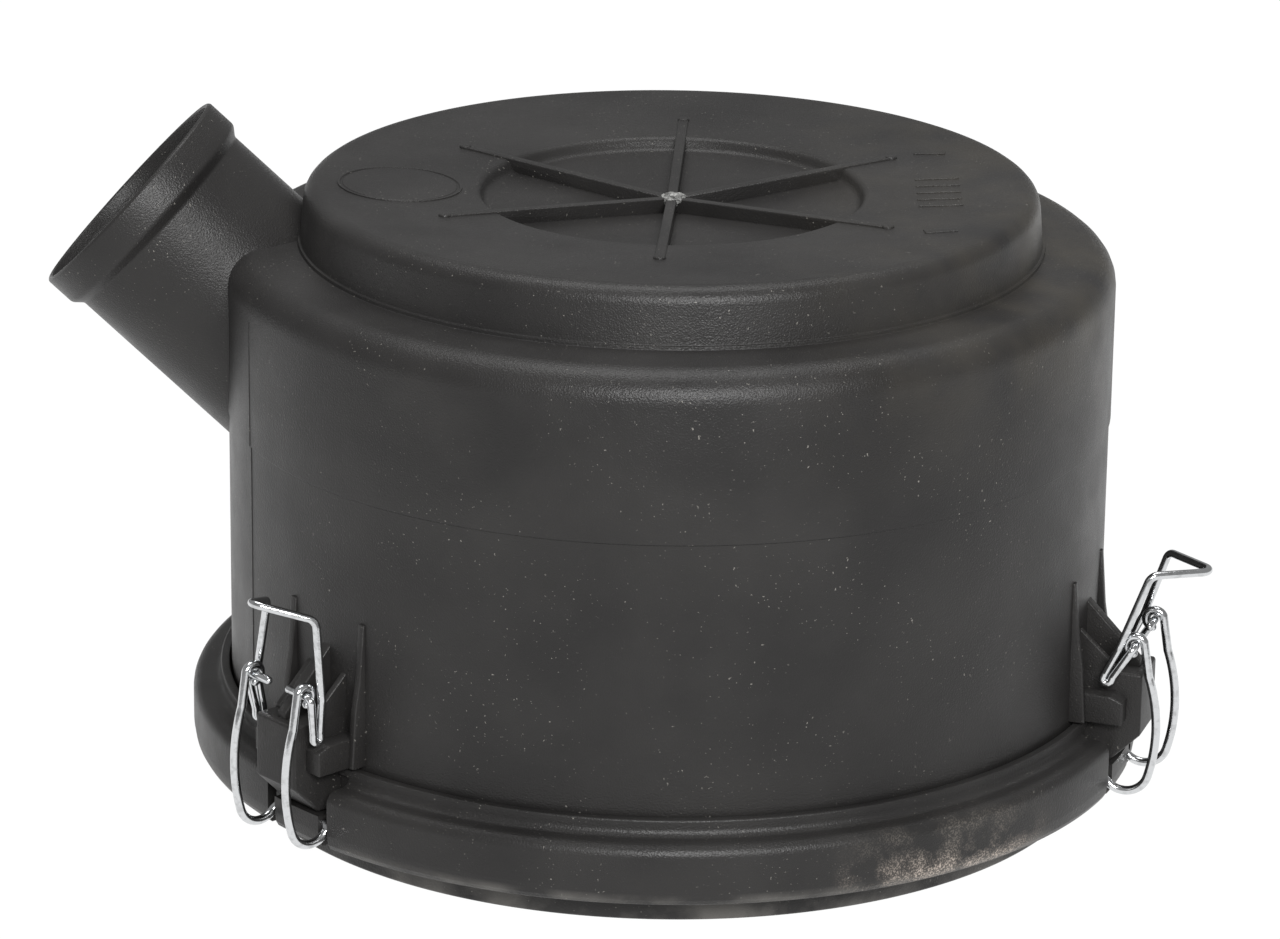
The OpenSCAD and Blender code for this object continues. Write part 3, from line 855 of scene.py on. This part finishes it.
def make_handle(name):
    """Handle: from each eye a hairpin foot goes down and back up, and both legs meet in the grip."""
    place = PLACES[name]
    eye_u, eye_z = place["handle"]
    half = [
        (0, PIN_END, 0),
        (0, LEG_FOOT_HALF, 0, 1.6),
        (HAIRPIN_NEAR, HAIRPIN_HALF, HAIRPIN_KNEE_Z, 1),
        (HAIRPIN_NEAR, HAIRPIN_HALF, HAIRPIN_LOW_Z, 1.04),
        (HAIRPIN_FAR, HAIRPIN_HALF, HAIRPIN_LOW_Z, 1.04),
        (-3.8, HAIRPIN_HALF, HAIRPIN_KNEE_Z, 1),
        (-3.2, LEG_FOOT_HALF, -1.5, 3),
        (*GRIP_CORNER, 2.6),
    ]
    other = [(u, -t, z, *bend) for u, t, z, *bend in half]
    path = rounded(half + [(*GRIP_TIP, 2.4)] + other[::-1], closed=False)
    move = (
        place["turn"]
        @ Matrix.Translation((eye_u, 0, eye_z))
        @ Matrix.Rotation(radians(HANDLE_OPEN[name]), 4, "Y")
    )
    finish_wire("handle", name, path, HANDLE_WIRE, move)


# ---- Inside ----

def finish_inner_nodes():
    """Better materials on the CAD nodes inside the housing."""
    caps = foam("cap_foam", (0.42, 0.07, 0.05), (0.3, 0.045, 0.035))
    liner = sheet_steel("liner_steel")
    looks = {
        "housing_seal": black_rubber(),
        "mounting_sleeves": sheet_steel("sleeve_steel"),
        "element_media": filter_paper(),
        "element_top_cap": caps,
        "element_bottom_cap": caps,
        "element_inner_liner": liner,
        "element_outer_guard": liner,
        "safety_fleece": fleece(),
        "safety_end_cap": foam("safety_plastic", (0.06, 0.075, 0.07), (0.04, 0.05, 0.046)),
        "safety_seal_ring": black_rubber(),
    }
    for node, material in looks.items():
        mesh = frame["nodes"][node].data
        mesh.materials.clear()
        mesh.materials.append(material)


# ---- Stage ----

def area_light(name, place, size, power):
    """Rectangular light that points at the object."""
    light = bpy.data.lights.new(name, "AREA")
    light.shape = "RECTANGLE"
    light.size, light.size_y = size
    light.energy = power
    lamp = bpy.data.objects.new(name, light)
    lamp.location = place
    lamp.rotation_euler = (Vector(LIGHT_TARGET) - Vector(place)).to_track_quat("-Z", "Y").to_euler()
    bpy.context.scene.collection.objects.link(lamp)


def make_stage():
    """White background, a floor that glows white and so shows no shadow, and two lights."""
    scene = bpy.context.scene
    scene.view_settings.view_transform = "Standard"
    world = bpy.data.worlds.new("studio")
    world.use_nodes = True
    background = world.node_tree.nodes["Background"]
    background.inputs["Color"].default_value = (1, 1, 1, 1)
    background.inputs["Strength"].default_value = WORLD_LIGHT
    scene.world = world
    floor_look = Look("floor", (0.02, 0.02, 0.02), 0.9, specular=0.0)
    cloudy = floor_look.mix(floor_look.noise(3, 2), (0.02, 0.02, 0.02, 1), (0.03, 0.03, 0.03, 1))
    floor_look.use("Base Color", cloudy)
    floor_look.shader.inputs["Emission Color"].default_value = (1, 1, 1, 1)
    floor_look.shader.inputs["Emission Strength"].default_value = 1.0
    shape = bmesh.new()
    bmesh.ops.create_grid(shape, x_segments=8, y_segments=8, size=FLOOR_HALF)
    floor = joined([shape])
    floor.name = "floor"
    floor.location.z = FLOOR_Z
    floor.data.materials.append(floor_look.material)
    area_light("key", KEY_PLACE, KEY_SIZE, KEY_POWER)
    area_light("overhead", OVERHEAD_PLACE, OVERHEAD_SIZE, OVERHEAD_POWER)


def make_camera():
    """Camera with a long lens, in front of the object and a little above it."""
    data = bpy.data.cameras.new("camera")
    data.lens = CAMERA_LENS
    data.sensor_width = CAMERA_SENSOR
    camera = bpy.data.objects.new("camera", data)
    turn = (
        Matrix.Rotation(radians(CAMERA_TURN), 4, "Z")
        @ Matrix.Rotation(radians(90 - CAMERA_DOWN), 4, "X")
        @ Matrix.Rotation(radians(CAMERA_ROLL), 4, "Z")
    )
    camera.matrix_world = Matrix.Translation(CAMERA_PLACE) @ turn
    bpy.context.scene.collection.objects.link(camera)
    bpy.context.scene.camera = camera


make_camera()
make_stage()
make_bowl()
make_base()
for clip in CLIPS:
    make_hook(clip)
    make_handle(clip)
finish_inner_nodes()
